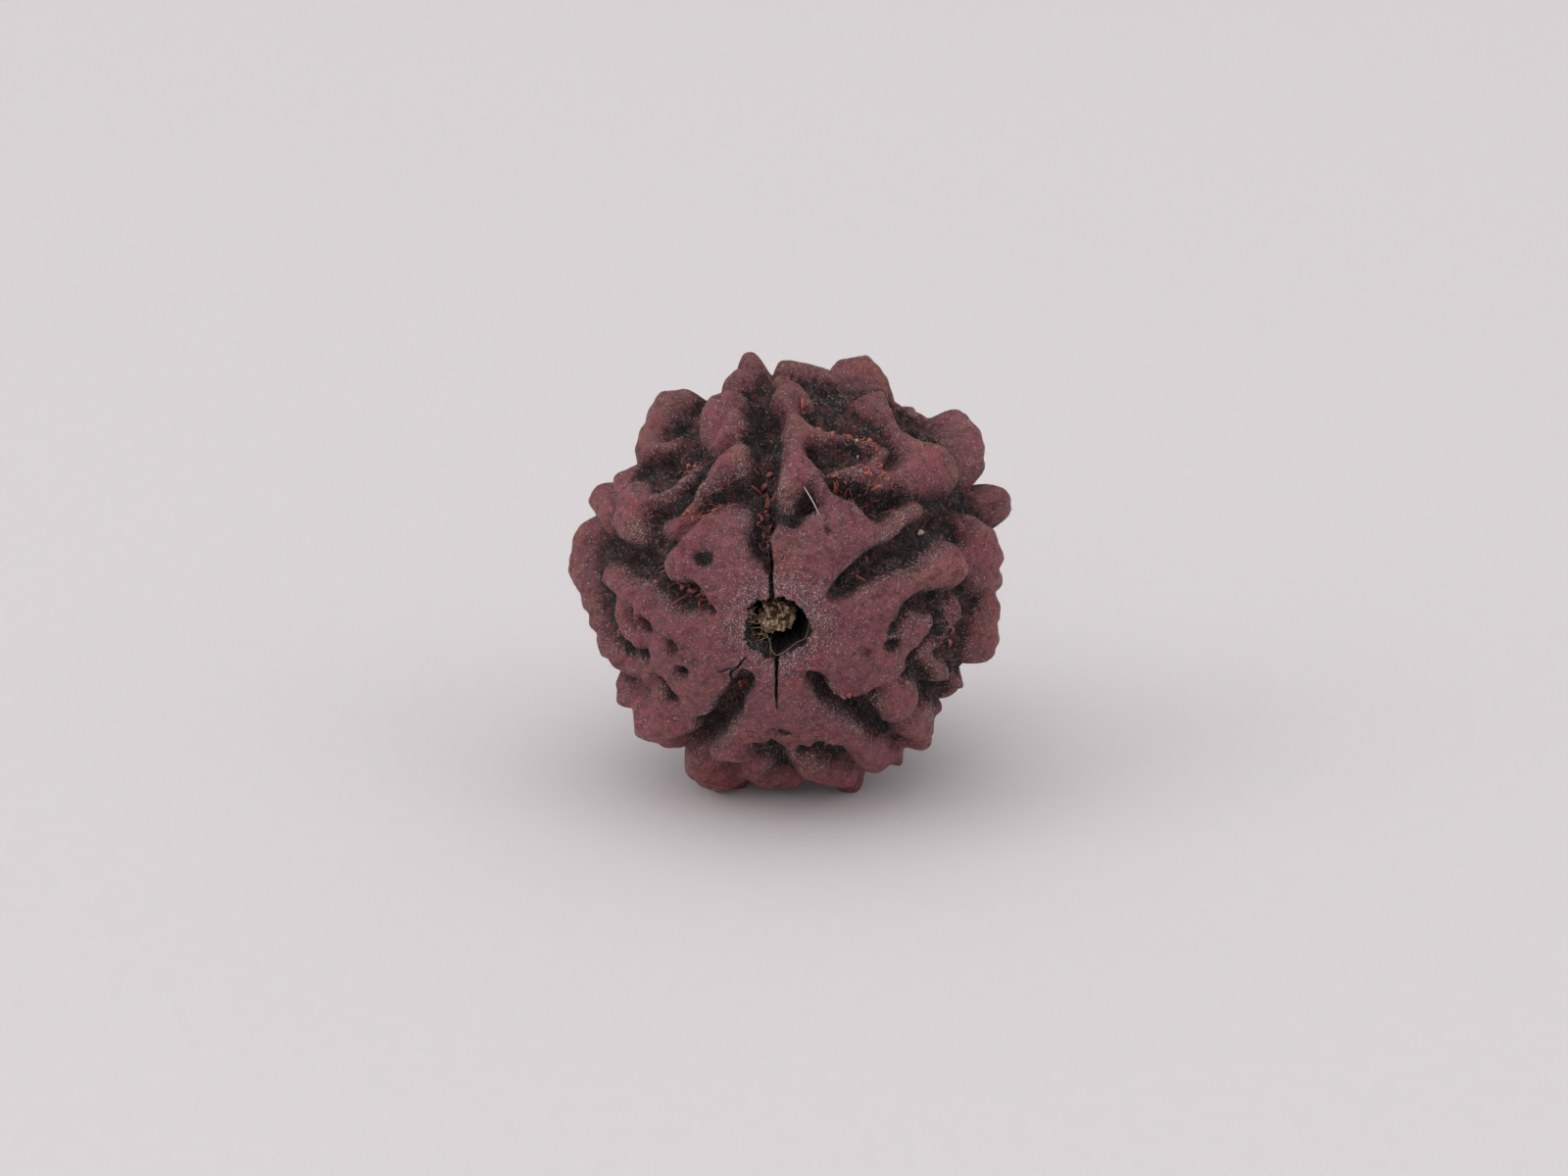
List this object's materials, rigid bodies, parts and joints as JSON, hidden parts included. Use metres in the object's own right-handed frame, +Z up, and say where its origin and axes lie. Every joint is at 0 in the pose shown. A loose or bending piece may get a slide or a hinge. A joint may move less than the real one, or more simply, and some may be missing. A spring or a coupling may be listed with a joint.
{
  "type": "rudraksha seed",
  "caption": "Dried rudraksha fruit stone lying on its side, with a smooth cap round its open pore, deep radial furrows and a knobbly ridged surface.",
  "frame": {"origin": "bottom centre of the whole object's box, on the surface that the stone lies on", "axes": "+Z up; the stone's own axis lies along Y with the open pore towards -Y, tipped up by 5 degrees; +X to the right of the picture"},
  "size_m": [0.0218, 0.0198, 0.0212],
  "materials": {
    "wood": "dull waxy sheen on the ridges, dusty in the crevices",
    "pith": "dry, crumbling, matt"
  },
  "bodies": {
    "root": {"seed": "wood", "pith_plug": "pith"}
  },
  "joints": []
}
